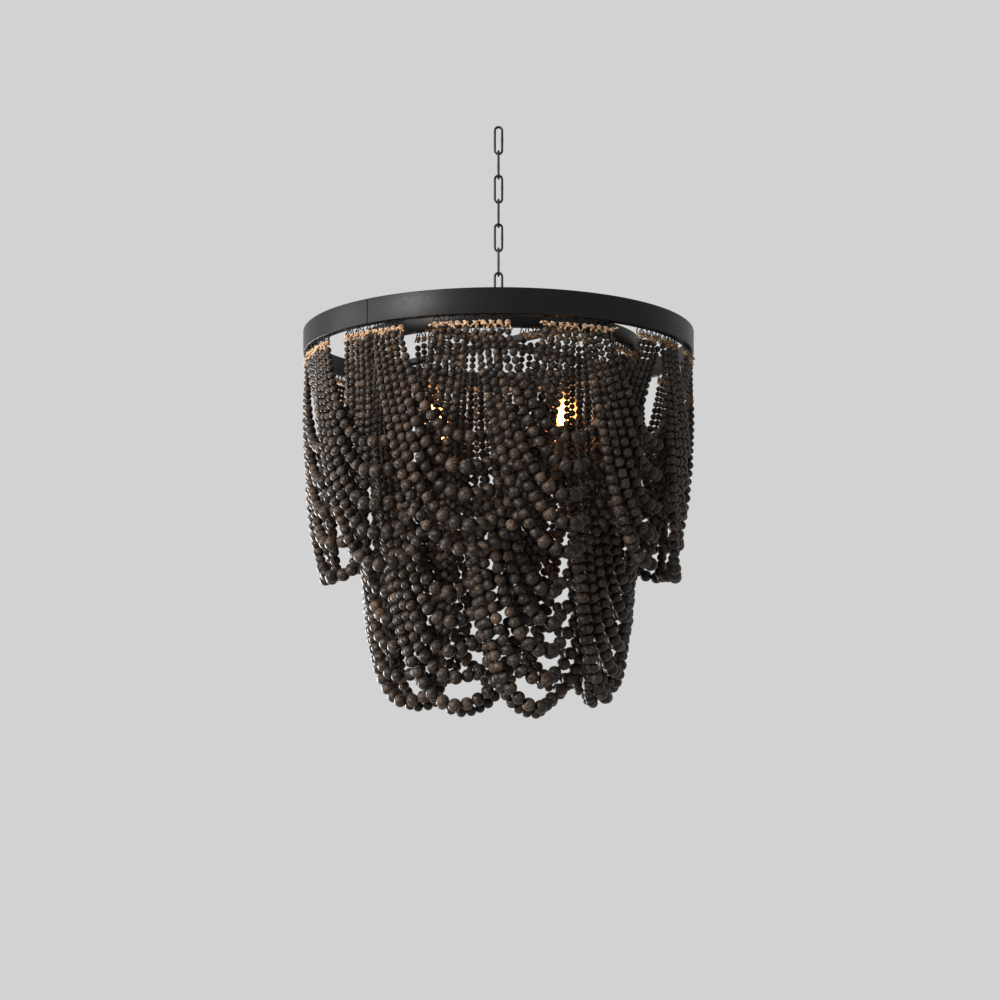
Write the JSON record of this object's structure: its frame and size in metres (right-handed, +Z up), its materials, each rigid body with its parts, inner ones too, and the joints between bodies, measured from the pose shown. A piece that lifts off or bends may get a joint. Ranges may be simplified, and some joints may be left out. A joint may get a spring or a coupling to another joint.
{
  "type": "beaded chandelier",
  "caption": "Ceiling lamp hung on a link chain: two steel hoops on crossed arms carry two tiers of overlapping graduated bead swags round upright candle bulbs.",
  "frame": {"origin": "underside of the top link's upper crown, where a hook or ceiling loop carries the chandelier", "axes": "+Z up along the chain; -Y is the front, the side the picture shows; +X is to the right seen from the front; the first link's flat lies in XZ"},
  "size_m": [0.55, 0.55, 0.8309],
  "materials": {
    "black_steel": "satin black",
    "frame_paint": "dark gunmetal, satin, faintly mottled",
    "gland_plastic": "matte black",
    "candle_sleeve": "matte dark brown",
    "bulb_glass": "warm frosted glass",
    "bead_wood": "dark stained wood, satin, light grain",
    "jute": "natural twisted fibre",
    "hook_wire": "dark wire, satin"
  },
  "bodies": {
    "link_1": {"chain_link_1": "black_steel"},
    "link_2": {"chain_link_2": "black_steel"},
    "link_3": {"chain_link_3": "black_steel"},
    "link_4": {"chain_link_4": "black_steel"},
    "link_5": {"chain_link_5": "black_steel"},
    "link_6": {"chain_link_6": "black_steel"},
    "link_7": {"chain_link_7": "black_steel"},
    "link_8": {"chain_link_8": "black_steel"},
    "fixture": {"hub_eye": "black_steel", "hub": "frame_paint", "wire_gland": "gland_plastic", "arm_1": "frame_paint", "arm_2": "frame_paint", "arm_3": "frame_paint", "arm_4": "frame_paint", "outer_hoop": "frame_paint", "inner_hoop": "frame_paint", "lamp_stem": "frame_paint", "lamp_hub": "frame_paint", "finial": "frame_paint", "candle_arm_1": "frame_paint", "candle_arm_2": "frame_paint", "candle_arm_3": "frame_paint", "candle_arm_4": "frame_paint", "candle_sleeve_1": "candle_sleeve", "candle_sleeve_2": "candle_sleeve", "candle_sleeve_3": "candle_sleeve", "candle_sleeve_4": "candle_sleeve", "bulb_1": "bulb_glass", "bulb_2": "bulb_glass", "bulb_3": "bulb_glass", "bulb_4": "bulb_glass", "upper_swag_01": "bead_wood", "upper_swag_02": "bead_wood", "upper_swag_03": "bead_wood", "upper_swag_04": "bead_wood", "upper_swag_05": "bead_wood", "upper_swag_06": "bead_wood", "upper_swag_07": "bead_wood", "upper_swag_08": "bead_wood", "upper_swag_09": "bead_wood", "upper_swag_10": "bead_wood", "upper_swag_11": "bead_wood", "upper_swag_12": "bead_wood", "upper_swag_13": "bead_wood", "lower_swag_01": "bead_wood", "lower_swag_02": "bead_wood", "lower_swag_03": "bead_wood", "lower_swag_04": "bead_wood", "lower_swag_05": "bead_wood", "lower_swag_06": "bead_wood", "lower_swag_07": "bead_wood", "lower_swag_08": "bead_wood", "lower_swag_09": "bead_wood"}
  },
  "joints": [
    {"name": "link_1_to_2", "type": "hinge", "parent": "link_1", "child": "link_2", "pos_m": [0, 0, -0.0369], "axis": [1, 0, 0], "range_deg": [-20, 20]},
    {"name": "link_2_to_3", "type": "hinge", "parent": "link_2", "child": "link_3", "pos_m": [0, 0, -0.0718], "axis": [0, 1, 0], "range_deg": [-20, 20]},
    {"name": "link_3_to_4", "type": "hinge", "parent": "link_3", "child": "link_4", "pos_m": [0, 0, -0.1067], "axis": [1, 0, 0], "range_deg": [-20, 20]},
    {"name": "link_4_to_5", "type": "hinge", "parent": "link_4", "child": "link_5", "pos_m": [0, 0, -0.1416], "axis": [0, 1, 0], "range_deg": [-20, 20]},
    {"name": "link_5_to_6", "type": "hinge", "parent": "link_5", "child": "link_6", "pos_m": [0, 0, -0.1765], "axis": [1, 0, 0], "range_deg": [-20, 20]},
    {"name": "link_6_to_7", "type": "hinge", "parent": "link_6", "child": "link_7", "pos_m": [0, 0, -0.2114], "axis": [0, 1, 0], "range_deg": [-20, 20]},
    {"name": "link_7_to_8", "type": "hinge", "parent": "link_7", "child": "link_8", "pos_m": [0, 0, -0.2463], "axis": [1, 0, 0], "range_deg": [-20, 20]},
    {"name": "link_8_to_eye", "type": "hinge", "parent": "link_8", "child": "fixture", "pos_m": [0, 0, -0.2812], "axis": [0, 1, 0], "range_deg": [-20, 20]}
  ]
}
